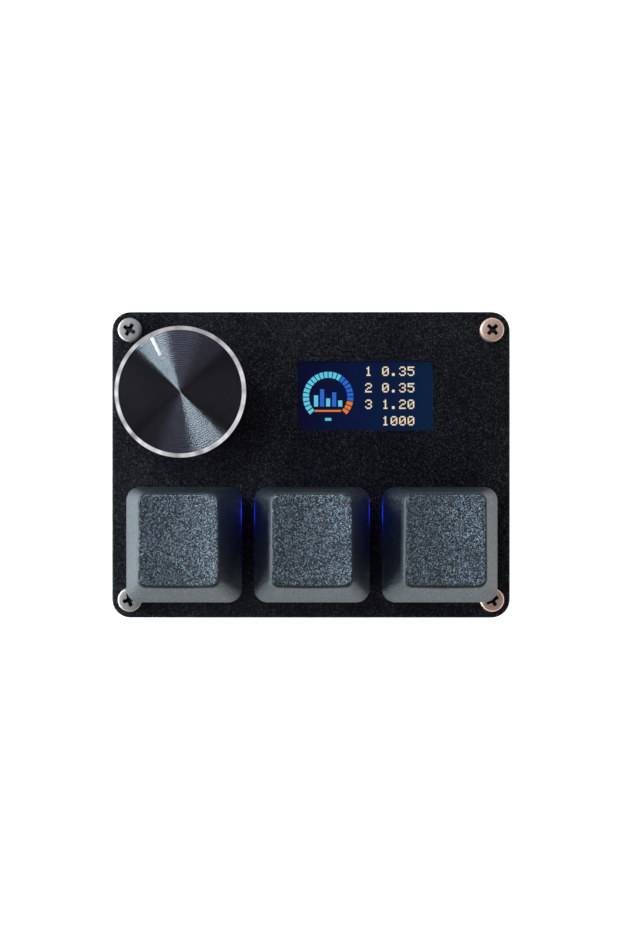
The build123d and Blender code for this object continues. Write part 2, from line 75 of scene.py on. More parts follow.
def addNode(tree, kind, settings=None, **links):
    # One shader node with its settings, and links into its sockets from nodes or their sockets.
    # _0 stands for the first socket, and stops are a colour ramp's (position, hex) pairs.
    node = tree.nodes.new("ShaderNode" + kind)
    socket = lambda name: node.inputs[int(name[1:]) if name[0] == "_" else name.replace("_", " ")]
    for name, value in (settings or {}).items():
        if name == "stops":
            elements = node.color_ramp.elements
            elements[0].position, elements[1].position = value[0][0], value[-1][0]
            for position, _ in value[1:-1]:
                elements.new(position)
            for element, (_, colour) in zip(elements, value):
                element.color = linear(colour)
        elif hasattr(node, name):
            setattr(node, name, value)
        else:
            socket(name).default_value = value
    for name, source in links.items():
        output = source if isinstance(source, bpy.types.NodeSocket) else source.outputs[0]
        tree.links.new(output, socket(name))
    return node


def newMaterial(name):
    # An empty material, its tree and its object coordinates
    material = bpy.data.materials.new(name)
    material.use_nodes = True
    tree = material.node_tree
    tree.nodes.clear()
    return material, tree, addNode(tree, "TexCoord").outputs["Object"]


def noiseScale(size):
    # The Noise texture's scale for features about size metres wide
    return 0.9 / size


def cellScale(size):
    # The Voronoi texture's scale for cells about size metres wide
    return 1 / size


def waveScale(period):
    # The Wave texture's scale for stripes that repeat every period metres
    return pi / 10 / period


def noiseTo(low, high):
    # Map Range settings that bring a noise's usual values to low..high
    return {"From Min": 0.3, "From Max": 0.7, "To Min": low, "To Max": high}


def dress(name, material):
    # A CAD node keeps its shape and gets this material
    nodes[name].data.materials.clear()
    nodes[name].data.materials.append(material)


def finishPiece(bm, name, body, materials, replaces=(), sharpAngle=35):
    # Makes an object of the mesh, on its body and in its slot, in place of the named CAD nodes
    mesh = bpy.data.meshes.new(name)
    bm.to_mesh(mesh)
    bm.free()
    for material in materials:
        mesh.materials.append(material)
    mesh.shade_smooth()
    mesh.set_sharp_from_angle(angle=radians(sharpAngle))
    piece = bpy.data.objects.new(name, mesh)
    bpy.context.scene.collection.objects.link(piece)
    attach(piece, body)
    if replaces:
        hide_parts(*replaces)
    return piece


def spinProfile(bm, profile, centre, steps):
    # Turns a profile of (radius, height) points about the upright axis through centre
    verts = [bm.verts.new((centre.x + r, centre.y, z)) for r, z in profile]
    edges = [bm.edges.new(pair) for pair in zip(verts, verts[1:])]
    bmesh.ops.spin(bm, geom=verts + edges, cent=centre, axis=(0, 0, 1), angle=2 * pi, steps=steps,
                   use_merge=True, use_duplicate=False)
    bmesh.ops.remove_doubles(bm, verts=bm.verts, dist=1e-7)


def facetNormal(tree, cells, amount):
    # Turns each cell's normal its own way, as the facets of a grain are
    surface = addNode(tree, "NewGeometry").outputs["Normal"]
    centred = addNode(tree, "VectorMath", {"operation": "SUBTRACT", "_1": [0.5] * 3},
                      _0=cells.outputs["Color"])
    turned = addNode(tree, "VectorMath", {"operation": "MULTIPLY_ADD", "_1": [amount] * 3},
                     _0=centred, _2=surface)
    return addNode(tree, "VectorMath", {"operation": "NORMALIZE"}, _0=turned)


def blastedAluminium():
    # Black anodised aluminium over a coarse blasted grain: near black, with fine specks that catch the
    # light. Real pits are under 0.1 mm wide and would not show, so they are drawn wider.
    material, tree, place = newMaterial("blasted black aluminium")
    pits = addNode(tree, "TexVoronoi", {"Scale": cellScale(0.15 * mm)}, Vector=place)
    waves = addNode(tree, "TexNoise",
                    {"Scale": noiseScale(0.3 * mm), "Detail": 3.0, "Roughness": 0.7}, Vector=place)
    clouds = addNode(tree, "TexNoise", {"Scale": noiseScale(9 * mm), "Detail": 2.0}, Vector=place)
    tone = addNode(tree, "ValToRGB",
                   {"stops": [(0.0, "#0e0e0f"), (0.5, "#191a1b"), (0.75, "#2d2e31"), (1.0, "#5a5c62")]},
                   Fac=pits.outputs["Color"])
    tint = addNode(tree, "ValToRGB", {"stops": [(0.3, "#ccccd8"), (0.7, "#ffffff")]}, Fac=clouds)
    colour = addNode(tree, "MixRGB", {"blend_type": "MULTIPLY", "Fac": 1.0}, Color1=tone, Color2=tint)
    gloss = addNode(tree, "MapRange", noiseTo(0.5, 0.34), Value=waves)
    facets = facetNormal(tree, pits, 0.4)
    relief = addNode(tree, "Bump", {"Distance": 0.01 * mm}, Height=waves, Normal=facets)
    shader = addNode(tree, "BsdfPrincipled", {"IOR": 1.45, "Specular IOR Level": 0.06},
                     Base_Color=colour, Roughness=gloss, Normal=relief)
    addNode(tree, "OutputMaterial", None, Surface=shader)
    return material


def mouldedBlack():
    # Black ABS from a spark-textured mould: even, matte, with a soft sheen on the edges. The texture is
    # drawn at 0.16 mm, about twice its real width, so that it shows.
    material, tree, place = newMaterial("moulded black ABS")
    spark = addNode(tree, "TexNoise", {"Scale": noiseScale(0.16 * mm), "Detail": 3.0}, Vector=place)
    drift = addNode(tree, "TexNoise", {"Scale": noiseScale(12 * mm), "Detail": 2.0}, Vector=place)
    tone = addNode(tree, "ValToRGB", {"stops": [(0.3, "#08090a"), (0.7, "#0f1012")]}, Fac=drift)
    gloss = addNode(tree, "MapRange", noiseTo(0.46, 0.62), Value=spark)
    relief = addNode(tree, "Bump", {"Distance": 0.025 * mm, "Strength": 0.7}, Height=spark)
    shader = addNode(tree, "BsdfPrincipled", {"IOR": 1.53, "Specular IOR Level": 0.3},
                     Base_Color=tone, Roughness=gloss, Normal=relief)
    addNode(tree, "OutputMaterial", None, Surface=shader)
    return material


# The three grains of the keycaps, by place: three tones, grain width and depth in millimetres, how far
# its facets turn, roughness and specular level. The top's tones are painted far lighter than the walls'
# and the rim's: a painted light on the top and painted shade on the walls, over one grey PBT. Real sand
# texture is finer than 0.1 mm and would not show, so it is drawn wider.
pbtGrainAndPaintedLight = {
    "top": {"tones": ("#000000", "#2c404c", "#e4f4fc"), "width": 0.135, "depth": 0.01,
            "facets": 0.58, "gloss": (0.5, 0.4), "shine": 0.5},
    "wall": {"tones": ("#020607", "#101c21", "#3e555f"), "width": 0.16, "depth": 0.01,
             "facets": 0.42, "gloss": (0.56, 0.46), "shine": 0.45},
    "rim": {"tones": ("#10171a", "#18242a", "#26343a"), "width": 0.16, "depth": 0.004,
            "facets": 0.12, "gloss": (0.6, 0.5), "shine": 0.28},
}


def sandedPbt(where):
    # Dark grey PBT: sandy and glittering on the scooped top, smoother on the walls. The rim's vertex
    # attribute paints a highlight on the rim's rear and right and painted shade on its front and left, and
    # lampGlow is the lamp's blue light along the skirt.
    grain = pbtGrainAndPaintedLight[where]
    dark, middle, pale = grain["tones"]
    material, tree, place = newMaterial("sand-textured PBT with painted light, " + where)
    width, depth = grain["width"] * mm, grain["depth"] * mm
    grains = addNode(tree, "TexVoronoi", {"Scale": cellScale(width)}, Vector=place)
    sand = addNode(tree, "TexNoise",
                   {"Scale": noiseScale(width), "Detail": 1.5, "Roughness": 0.6}, Vector=place)
    patches = addNode(tree, "TexNoise", {"Scale": noiseScale(5 * mm), "Detail": 2.0}, Vector=place)
    tone = addNode(tree, "ValToRGB", {"stops": [(0.0, dark), (0.5, middle), (1.0, pale)]},
                   Fac=grains.outputs["Color"])
    tint = addNode(tree, "ValToRGB", {"stops": [(0.3, "#e2eaf2"), (0.7, "#ffffff")]}, Fac=patches)
    colour = addNode(tree, "MixRGB", {"blend_type": "MULTIPLY", "Fac": 1.0}, Color1=tone, Color2=tint)
    # Painted light on the rim: lighter as a painted highlight where the attribute is above one half, darker
    # as painted shade below
    edge = addNode(tree, "Attribute", {"attribute_name": "edgeTone"})
    paintedRimTone = addNode(tree, "ValToRGB", {"stops": [(0.0, "#000000"), (0.5, "#808080"), (1.0, "#ffffff")]},
                   Fac=edge.outputs["Fac"])
    withPaintedRim = addNode(tree, "MixRGB", {"blend_type": "OVERLAY", "Fac": 1.0}, Color1=colour, Color2=paintedRimTone)
    gloss = addNode(tree, "MapRange", noiseTo(*grain["gloss"]), Value=sand)
    facets = facetNormal(tree, grains, grain["facets"])
    relief = addNode(tree, "Bump", {"Distance": depth}, Height=sand, Normal=facets)
    leak = addNode(tree, "Attribute", {"attribute_name": "lampGlow"})
    glow = addNode(tree, "ValToRGB", {"stops": [(0.0, "#000000"), (0.4, "#000a5a"), (1.0, "#1430ff")]},
                   Fac=leak.outputs["Fac"])
    shader = addNode(tree, "BsdfPrincipled",
                     {"IOR": 1.57, "Specular IOR Level": grain["shine"], "Emission Strength": 1.3},
                     Base_Color=withPaintedRim, Roughness=gloss, Normal=relief, Emission_Color=glow)
    addNode(tree, "OutputMaterial", None, Surface=shader)
    return material


turning = {
    "groove": 0.05 * mm,    # from one groove of the face to the next
    "slope": 0.21,          # of a groove's flanks where they are steepest
    "band": 0.34 * mm,      # the tool's slower marks, which show as faint rings
    "bevelLine": 0.2 * mm,  # tool lines, drawn wider than real ones so that they show
    "wallLine": 0.25 * mm,  # and those round the knob's side
}


def turnedAluminium():
    # Black anodised aluminium face, turned on a lathe: its fine grooves spread light into opposite fans
    material, tree, place = newMaterial("turned black aluminium")
    centred = addNode(tree, "Mapping",
                      {"vector_type": "POINT", "Location": [-knobCentre.x, -knobCentre.y, 0]}, Vector=place)
    rings = {"wave_type": "RINGS", "rings_direction": "Z", "wave_profile": "SIN"}
    grooves = addNode(tree, "TexWave", {**rings, "Scale": waveScale(turning["groove"])}, Vector=centred)
    bands = addNode(tree, "TexWave",
                    {**rings, "Scale": waveScale(turning["band"]), "Distortion": 0.6, "Detail": 2.0,
                     "Detail Scale": 3.0}, Vector=centred)
    tone = addNode(tree, "ValToRGB",
                   {"stops": [(0.0, "#555558"), (0.5, "#636367"), (1.0, "#737376")]}, Fac=bands)
    # Each groove's flanks lean towards and away from the centre
    flat = addNode(tree, "VectorMath", {"operation": "MULTIPLY", "_1": (1, 1, 0)}, _0=centred)
    outward = addNode(tree, "VectorMath", {"operation": "NORMALIZE"}, _0=flat)
    slope = addNode(tree, "MapRange",
                    {"To Min": -turning["slope"], "To Max": turning["slope"]}, Value=grooves.outputs["Fac"])
    lean = addNode(tree, "VectorMath", {"operation": "SCALE"}, _0=outward, Scale=slope)
    surface = addNode(tree, "NewGeometry").outputs["Normal"]
    leaning = addNode(tree, "VectorMath", {"operation": "ADD"}, _0=surface, _1=lean)
    flank = addNode(tree, "VectorMath", {"operation": "NORMALIZE"}, _0=leaning)
    tangent = addNode(tree, "Tangent", {"direction_type": "RADIAL", "axis": "Z"})
    shader = addNode(tree, "BsdfPrincipled",
                     {"Metallic": 1.0, "Roughness": 0.165, "Anisotropic": 1.0,
                      "Anisotropic Rotation": 0.25}, Base_Color=tone, Normal=flank, Tangent=tangent)
    addNode(tree, "OutputMaterial", None, Surface=shader)
    return material


def diamondCut():
    # Bare aluminium where a diamond tool cut the bevel: bright, almost a mirror, with faint tool lines
    material, tree, place = newMaterial("diamond-cut aluminium")
    lines = addNode(tree, "TexWave",
                    {"wave_type": "BANDS", "bands_direction": "Z", "Scale": waveScale(turning["bevelLine"]),
                     "Distortion": 1.0}, Vector=place)
    haze = addNode(tree, "TexNoise", {"Scale": noiseScale(1.5 * mm), "Detail": 2.0}, Vector=place)
    tone = addNode(tree, "ValToRGB", {"stops": [(0.3, "#dcdcde"), (0.7, "#f0f0f1")]}, Fac=haze)
    gloss = addNode(tree, "MapRange", noiseTo(0.05, 0.12), Value=haze)
    relief = addNode(tree, "Bump", {"Distance": 0.002 * mm, "Strength": 0.2}, Height=lines)
    shader = addNode(tree, "BsdfPrincipled", {"Metallic": 1.0},
                     Base_Color=tone, Roughness=gloss, Normal=relief)
    addNode(tree, "OutputMaterial", None, Surface=shader)
    return material


def satinAnodising():
    # Satin black anodising on the knob's plain side, with fine turning lines
    material, tree, place = newMaterial("satin black anodising")
    lines = addNode(tree, "TexWave",
                    {"wave_type": "BANDS", "bands_direction": "Z", "Scale": waveScale(turning["wallLine"]),
                     "Distortion": 0.8}, Vector=place)
    fine = addNode(tree, "TexNoise", {"Scale": noiseScale(0.2 * mm), "Detail": 2.0}, Vector=place)
    tone = addNode(tree, "ValToRGB", {"stops": [(0.0, "#26272c"), (1.0, "#34363d")]}, Fac=lines)
    gloss = addNode(tree, "MapRange", noiseTo(0.28, 0.42), Value=fine)
    relief = addNode(tree, "Bump", {"Distance": 0.003 * mm, "Strength": 0.3}, Height=lines)
    shader = addNode(tree, "BsdfPrincipled", {"Metallic": 1.0, "Anisotropic": 0.4},
                     Base_Color=tone, Roughness=gloss, Normal=relief)
    addNode(tree, "OutputMaterial", None, Surface=shader)
    return material


def nickelSteel(name, palest, darkest, gloss):
    # Nickel-plated steel screws, barrelled: soft scratches, and painted light across the case, grey and
    # darker at the left, lighter and warm at the right as a painted warm reflection
    material, tree, place = newMaterial(name)
    scuffs = addNode(tree, "TexNoise",
                     {"Scale": noiseScale(0.2 * mm), "Detail": 4.0, "Roughness": 0.7}, Vector=place)
    tone = addNode(tree, "ValToRGB", {"stops": [(0.32, darkest), (0.68, palest)]}, Fac=scuffs)
    across = addNode(tree, "SeparateXYZ", None, Vector=place).outputs["X"]
    reflectionStart, reflectionFull = -0.4 * caseHalf, 0.9 * caseHalf    # where the painted warm reflection starts and where it is full
    # copper is the share of the painted warm reflection across the case
    copper = addNode(tree, "MapRange", {"From Min": reflectionStart, "From Max": reflectionFull}, Value=across)
    tint = addNode(tree, "ValToRGB", {"stops": [(0.0, "#b8b8b4"), (1.0, "#ffdccc")]}, Fac=copper)
    colour = addNode(tree, "MixRGB", {"blend_type": "MULTIPLY", "Fac": 1.0}, Color1=tone, Color2=tint)
    rough = addNode(tree, "MapRange", noiseTo(*gloss), Value=scuffs)
    relief = addNode(tree, "Bump", {"Distance": 0.008 * mm, "Strength": 0.35}, Height=scuffs)
    shader = addNode(tree, "BsdfPrincipled", {"Metallic": 1.0},
                     Base_Color=colour, Roughness=rough, Normal=relief)
    addNode(tree, "OutputMaterial", None, Surface=shader)
    return material


def whiteEnamel():
    # Enamel filled into the pointer's groove: white, smooth, slightly uneven
    material, tree, place = newMaterial("white enamel")
    fine = addNode(tree, "TexNoise", {"Scale": noiseScale(0.15 * mm), "Detail": 2.0}, Vector=place)
    tone = addNode(tree, "ValToRGB", {"stops": [(0.3, "#eceeee"), (0.7, "#ffffff")]}, Fac=fine)
    relief = addNode(tree, "Bump", {"Distance": 0.01 * mm, "Strength": 0.3}, Height=fine)
    shader = addNode(tree, "BsdfPrincipled", {"IOR": 1.5, "Roughness": 0.3},
                     Base_Color=tone, Normal=relief)
    addNode(tree, "OutputMaterial", None, Surface=shader)
    return material


def litGlass():
    # The display's glass over its glowing background: navy, more violet at the left
    material, tree, place = newMaterial("lit display glass")
    across = addNode(tree, "SeparateXYZ", None, Vector=place).outputs["X"]
    share = addNode(tree, "MapRange", {"From Min": glassLow.x, "From Max": glassHigh.x}, Value=across)
    cloud = addNode(tree, "TexNoise", {"Scale": noiseScale(3 * mm), "Detail": 2.0}, Vector=place)
    cloudiness = 0.12    # how far the clouds shift the colour, as a share of the glass's width
    uneven = addNode(tree, "Math", {"operation": "MULTIPLY_ADD", "_1": cloudiness}, _0=cloud, _2=share)
    glow = addNode(tree, "ValToRGB",
                   {"stops": [(0.1, "#090928"), (0.5, "#08163a"), (0.9, "#08203c")]}, Fac=uneven)
    tone = addNode(tree, "ValToRGB", {"stops": [(0.0, "#04040c"), (1.0, "#05070e")]}, Fac=uneven)
    shader = addNode(tree, "BsdfPrincipled", {"IOR": 1.5, "Roughness": 0.08, "Emission Strength": 1.0},
                     Base_Color=tone, Emission_Color=glow)
    addNode(tree, "OutputMaterial", None, Surface=shader)
    return material


def litPixel(name, hexColour):
    # One colour of the picture, glowing, with the faint unevenness of a display
    material, tree, place = newMaterial(name)
    speck = addNode(tree, "TexNoise", {"Scale": noiseScale(0.14 * mm), "Detail": 1.0}, Vector=place)
    light = linear(hexColour)
    dimShare = 0.72      # of the light, at a dot's dimmest
    dim = [channel * dimShare for channel in light[:3]] + [1.0]
    glow = addNode(tree, "MixRGB", {"Color1": dim, "Color2": light}, Fac=speck)
    shader = addNode(tree, "BsdfPrincipled",
                     {"Roughness": 0.3, "Emission Strength": 1.0, "Base Color": linear("#050608")},
                     Emission_Color=glow)
    addNode(tree, "OutputMaterial", None, Surface=shader)
    return material


def clearPolycarbonate(key):
    # Clear polycarbonate switch top: milky at its edges, lit blue round the lamp behind the stem
    material, tree, place = newMaterial("clear polycarbonate, " + key)
    low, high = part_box(key + "_housing_top")
    reach = 7.5 * mm     # of the lamp's light
    lamp = Vector(((low.x + high.x) / 2, lampRow, low.z))
    centred = addNode(tree, "Mapping",
                      {"vector_type": "POINT", "Location": -lamp / reach, "Scale": [1 / reach] * 3},
                      Vector=place)
    near = addNode(tree, "TexGradient", {"gradient_type": "SPHERICAL"}, Vector=centred)
    glow = addNode(tree, "ValToRGB",
                   {"stops": [(0.0, "#000002"), (0.35, "#000a50"), (0.7, "#0a22d8"), (1.0, "#3c60ff")]},
                   Fac=near)
    swirl = addNode(tree, "TexNoise", {"Scale": noiseScale(0.4 * mm), "Detail": 2.0}, Vector=place)
    tone = addNode(tree, "ValToRGB", {"stops": [(0.3, "#8e98a8"), (0.7, "#aab4c2")]}, Fac=swirl)
    gloss = addNode(tree, "MapRange", noiseTo(0.14, 0.24), Value=swirl)
    shader = addNode(tree, "BsdfPrincipled",
                     {"IOR": 1.58, "Transmission Weight": 0.6, "Emission Strength": 1.0},
                     Base_Color=tone, Roughness=gloss, Emission_Color=glow)
    addNode(tree, "OutputMaterial", None, Surface=shader)
    return material


def lampLens():
    # The lamp's milky lens, glowing blue
    material, tree, place = newMaterial("blue lamp lens")
    milk = addNode(tree, "TexNoise", {"Scale": noiseScale(0.5 * mm), "Detail": 2.0}, Vector=place)
    glow = addNode(tree, "ValToRGB", {"stops": [(0.3, "#1030ff"), (0.7, "#2858ff")]}, Fac=milk)
    shader = addNode(tree, "BsdfPrincipled",
                     {"Roughness": 0.35, "Emission Strength": 6.0, "Base Color": linear("#c8d4f0")},
                     Emission_Color=glow)
    addNode(tree, "OutputMaterial", None, Surface=shader)
    return material


# Finishes of the pieces that are mostly hidden: dark and light tone, metallic, roughness from and to,
# grain width and depth in millimetres. Each is named for what the piece is made of. Grain finer than
# about 0.1 mm is drawn coarser, so that it shows.
smallFinishes = {
    "nitrile rubber": ("#0f0f10", "#1a1a1b", 0, 0.7, 0.9, 0.5, 0.03),
    "turned brass": ("#a8853c", "#d2ad62", 1, 0.2, 0.38, 0.3, 0.006),
    "black solder mask": ("#07110c", "#0e1a14", 0, 0.25, 0.4, 0.8, 0.008),
    "moulded epoxy": ("#131315", "#202023", 0, 0.5, 0.7, 0.12, 0.01),
    "rolled stainless sheet": ("#9a9a9c", "#bdbdbf", 1, 0.22, 0.36, 0.4, 0.004),
    "black polyester tray": ("#0a0a0b", "#131315", 0, 0.5, 0.65, 0.4, 0.01),
    "closed-cell foam": ("#0c0c0d", "#1c1c1e", 0, 0.85, 0.95, 0.35, 0.05),
    "amber polyimide": ("#6e3310", "#94501c", 0, 0.2, 0.35, 1.0, 0.004),
    "natural nylon": ("#b7ab93", "#d0c6b0", 0, 0.4, 0.55, 0.3, 0.01),
    "glass-filled nylon": ("#0e0e10", "#1b1b1e", 0, 0.45, 0.65, 0.2, 0.015),
    "turned zinc": ("#8d8e92", "#b4b5b8", 1, 0.22, 0.4, 0.25, 0.006),
    "tinned copper": ("#a9a8a4", "#cfcecb", 1, 0.25, 0.4, 0.3, 0.005),
    "acetal": ("#8f97a8", "#aab2c2", 0, 0.25, 0.4, 0.6, 0.006),
    "plated magnet": ("#98989a", "#c4c4c6", 1, 0.12, 0.25, 0.4, 0.003),
    "plated spring wire": ("#a3977a", "#cbbf9e", 1, 0.2, 0.35, 0.2, 0.004),
}


def smallFinish(name):
    # One of those finishes: an even tone with the grain that its making left
    dark, light, metallic, roughLow, roughHigh, width, depth = smallFinishes[name]
    material, tree, place = newMaterial(name)
    fine = addNode(tree, "TexNoise", {"Scale": noiseScale(width * mm), "Detail": 3.0}, Vector=place)
    tone = addNode(tree, "ValToRGB", {"stops": [(0.32, dark), (0.68, light)]}, Fac=fine)
    gloss = addNode(tree, "MapRange", noiseTo(roughLow, roughHigh), Value=fine)
    relief = addNode(tree, "Bump", {"Distance": depth * mm, "Strength": 0.5}, Height=fine)
    shader = addNode(tree, "BsdfPrincipled", {"Metallic": metallic},
                     Base_Color=tone, Roughness=gloss, Normal=relief)
    addNode(tree, "OutputMaterial", None, Surface=shader)
    return material


print("materials ready")

cap = {
    "height": 8.15 * mm,
    "baseHalf": 9.025 * mm,
    "baseCorner": 2.1 * mm,
    "topHalf": (6.1 * mm, 7.0 * mm),
    "topCorner": 1.3 * mm,
    "leastCorner": 0.3 * mm,
    "topShift": 1.3 * mm,  # towards the rear
    "dishRadius": 37 * mm,
    "dishDepth": 0.5 * mm,
    "dishTilt": 1.5,       # degrees, front lower
    "rimRound": 0.5 * mm,
    "rimLead": 0.12 * mm,  # of wall with the rim's tone, below the rounding
    "rimSlope": 0.53,      # faces are rim where their normal's z is above this
    "topSlope": 0.975,     # and top where it is above this
    "wall": 1.1 * mm,
    "ceiling": 6.2 * mm,   # inside height
    "ceilingBevel": 0.4 * mm,
    "draft": 0.15 * mm,    # how much thicker the wall is at the ceiling
    "paintedRimLights": (0.6, 0.88, 0.3, 0.05),  # right, rear, left, front: painted highlight above one half, painted shade below
    "glowReach": (2.4 * mm, 0.8 * mm),    # of the lamp's leak, along the skirt and up it
    "glowWash": 0.03,                     # its share over the whole facing side
    "glowFrom": 0.65,                     # share of the half width, from where a side is lit
    "cornerSteps": 10,
    "sideSteps": 14,
    "rimSteps": 6,
    "wallRings": (0.02, 0.06, 0.1, 0.15, 0.3, 0.5, 0.75),  # shares of the height
    "topRings": (0.2, 0.35, 0.5, 0.65, 0.8, 0.92),         # shares of the way to the middle
}

stemSocket = {
    "radius": 2.75 * mm,
    "depth": 3.6 * mm,        # below the top of the stem's cross
    "crossReach": 2.075 * mm,
    "crossHalf": 0.65 * mm,   # half an arm's width
    "crossSpare": 0.3 * mm,   # room above the cross
}


def capFoot(key):
    # The middle of the CAD cap, at the height of its skirt
    low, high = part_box(key + "_cap")
    return Vector(((low.x + high.x) / 2, (low.y + high.y) / 2, low.z))


def capOutline(index, share, inset=0.0):
    # Point number index round the cap's wall at a share of its height, seen from above
    blend = lambda low, high: low + (high - low) * share
    halfX = blend(cap["baseHalf"], cap["topHalf"][0]) - inset
    halfY = blend(cap["baseHalf"], cap["topHalf"][1]) - inset
    corner = max(blend(cap["baseCorner"], cap["topCorner"]) - inset, cap["leastCorner"])
    steps = cap["cornerSteps"] + cap["sideSteps"]
    side, step = divmod(index, steps)
    turn = side * pi / 2
    alongHalf, awayHalf = (halfY, halfX) if side % 2 == 0 else (halfX, halfY)
    if step < cap["sideSteps"]:
        along = (alongHalf - corner) * (2 * step / cap["sideSteps"] - 1)
        away = awayHalf
    else:
        angle = (step - cap["sideSteps"]) / cap["cornerSteps"] * pi / 2
        along = alongHalf - corner + corner * sin(angle)
        away = awayHalf - corner + corner * cos(angle)
    x = away * cos(turn) - along * sin(turn)
    y = away * sin(turn) + along * cos(turn)
    return x, y + cap["topShift"] * share


def dishLevel(x, y, rim):
    # Height of the scooped top, a tilted cylinder's inside
    sag = cap["dishRadius"] - sqrt(cap["dishRadius"] ** 2 - x * x)
    return rim - cap["dishDepth"] + sag + sin(radians(cap["dishTilt"])) * (y - cap["topShift"])


def paintedRimLightAt(number):
    # The rim's painted light and shade at point number, blended round the corners
    side, step = divmod(number, cap["cornerSteps"] + cap["sideSteps"])
    share = max(0.0, (step - cap["sideSteps"]) / cap["cornerSteps"])
    tones = cap["paintedRimLights"]
    return tones[side] * (1 - share) + tones[(side + 1) % 4] * share


def ringUp(bm, edges, place, paintedRimShare=0.0):
    # Extrudes a ring of edges and puts its vertices, counted by their number layer, at place(number)
    counter, tone = bm.verts.layers.int["number"], bm.verts.layers.float["edgeTone"]
    made = bmesh.ops.extrude_edge_only(bm, edges=edges)["geom"]
    for vert in [g for g in made if isinstance(g, bmesh.types.BMVert)]:
        vert.co = place(vert[counter])
        # The rim's painted highlight and shade, strongest halfway round the rounding
        vert[tone] = 0.5 + (paintedRimLightAt(vert[counter]) - 0.5) * paintedRimShare
    return [g for g in made if isinstance(g, bmesh.types.BMEdge) and g.is_boundary]


def makeCap(key):
    # The cap's outside, raised ring by ring from its skirt over the rim to the middle of the top
    foot = capFoot(key)
    height = cap["height"]
    count = 4 * (cap["cornerSteps"] + cap["sideSteps"])
    bm = bmesh.new()
    # The float layer holds the rim's painted highlight and shade
    counter, tone = bm.verts.layers.int.new("number"), bm.verts.layers.float.new("edgeTone")
    bmesh.ops.create_circle(bm, segments=count, radius=cap["baseHalf"])
    for number, vert in enumerate(bm.verts):
        vert[counter] = number
        vert[tone] = 0.5

    def onWall(number, level, inset=0.0):
        x, y = capOutline(number, (level - foot.z) / height, inset)
        return Vector((foot.x + x, foot.y + y, level))

    def rimPoint(number):
        level = foot.z + height
        for _ in range(6):
            x, y = capOutline(number, (level - foot.z) / height)
            level = foot.z + dishLevel(x, y, height)
        return Vector((foot.x + x, foot.y + y, level))

    def onTop(number, share):
        # A share of the way from the rim to the middle of the top
        edge = rimPoint(number)
        x = (edge.x - foot.x) * (1 - share)
        y = (edge.y - foot.y - cap["topShift"]) * (1 - share) + cap["topShift"]
        return Vector((foot.x + x, foot.y + y, foot.z + dishLevel(x, y, height)))

    def roundedRim(number, turn):
        corner = rimPoint(number)
        below = onWall(number, corner.z - cap["rimRound"])
        inward = onTop(number, 0.25) - corner    # only its direction counts
        inside = corner + inward.normalized() * cap["rimRound"]
        x, y = inside.x - foot.x, inside.y - foot.y
        inside.z = foot.z + dishLevel(x, y, height)
        return below * (1 - turn) ** 2 + corner * 2 * turn * (1 - turn) + inside * turn ** 2

    for vert in bm.verts:
        vert.co = onWall(vert[counter], foot.z)
    outer = list(bm.edges)
    for share in cap["wallRings"]:
        outer = ringUp(bm, outer, lambda n, s=share: onWall(n, foot.z + s * height))
    lead = cap["rimRound"] + cap["rimLead"]
    outer = ringUp(bm, outer, lambda n: onWall(n, rimPoint(n).z - lead))
    for step in range(cap["rimSteps"] + 1):
        turn = step / cap["rimSteps"]
        outer = ringUp(bm, outer, lambda n, t=turn: roundedRim(n, t), sin(turn * pi))
    for share in cap["topRings"]:
        outer = ringUp(bm, outer, lambda n, s=share: onTop(n, s))
    bmesh.ops.edgeloop_fill(bm, edges=outer)
    return bm, foot, onWall


def leakGlow(bm, foot):
    # The lamp's light on the sides that face another key, strongest beside the lamp and low down
    glow = bm.verts.layers.float.new("lampGlow")
    along, up = cap["glowReach"]
    washReach = 3 * along
    outerSide = 0.8 * caseHalf    # no other key faces a side past this
    for vert in bm.verts:
        across = abs(vert.co.x - foot.x) / cap["baseHalf"]
        if across > cap["glowFrom"] and abs(vert.co.x) < outerSide:
            wash = cap["glowWash"] * exp(-((vert.co.y - lampRow) / washReach) ** 2)
            leak = exp(-((vert.co.y - lampRow) / along) ** 2) * max(0.0, 1 - (vert.co.z - foot.z) / up)
            vert[glow] = max(leak, wash)


def hollowCap(bm, key, foot, onWall, baseEdges):
    # The cap's inside: thin walls, a flat ceiling and the round socket with its cross
    ceiling = foot.z + cap["ceiling"]
    inner = ringUp(bm, baseEdges, lambda n: onWall(n, foot.z, cap["wall"]))
    bevel, thick = cap["ceilingBevel"], cap["wall"] + cap["draft"]
    inner = ringUp(bm, inner, lambda n: onWall(n, ceiling - bevel, thick))
    inner = ringUp(bm, inner, lambda n: onWall(n, ceiling, thick + bevel))
    bmesh.ops.edgeloop_fill(bm, edges=inner)
    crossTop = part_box(key + "_stem")[1].z
    socketLow = crossTop - stemSocket["depth"]
    rim = bmesh.ops.create_circle(bm, segments=64, radius=stemSocket["radius"])["verts"]
    bmesh.ops.translate(bm, verts=rim, vec=(foot.x, foot.y, socketLow))
    rimEdges = [e for e in bm.edges if all(v in rim for v in e.verts)]
    reach, half = stemSocket["crossReach"], stemSocket["crossHalf"]
    corners = [(reach, -half), (reach, half), (half, half)]
    turned = [Matrix.Rotation(quarter * pi / 2, 2) @ Vector(corner)
              for quarter in range(4) for corner in corners]
    slot = [bm.verts.new((foot.x + x, foot.y + y, socketLow)) for x, y in turned]
    slotEdges = [bm.edges.new(pair) for pair in zip(slot, slot[1:] + slot[:1])]
    bmesh.ops.triangle_fill(bm, use_beauty=True, edges=rimEdges + slotEdges)
    sunk = 0.05 * mm    # of the socket's wall into the ceiling
    for edges, top in ((rimEdges, ceiling + sunk), (slotEdges, crossTop + stemSocket["crossSpare"])):
        made = bmesh.ops.extrude_edge_only(bm, edges=edges)["geom"]
        for vert in [g for g in made if isinstance(g, bmesh.types.BMVert)]:
            vert.co.z = top
        ends = [g for g in made if isinstance(g, bmesh.types.BMEdge) and g.is_boundary]
        bmesh.ops.edgeloop_fill(bm, edges=ends)


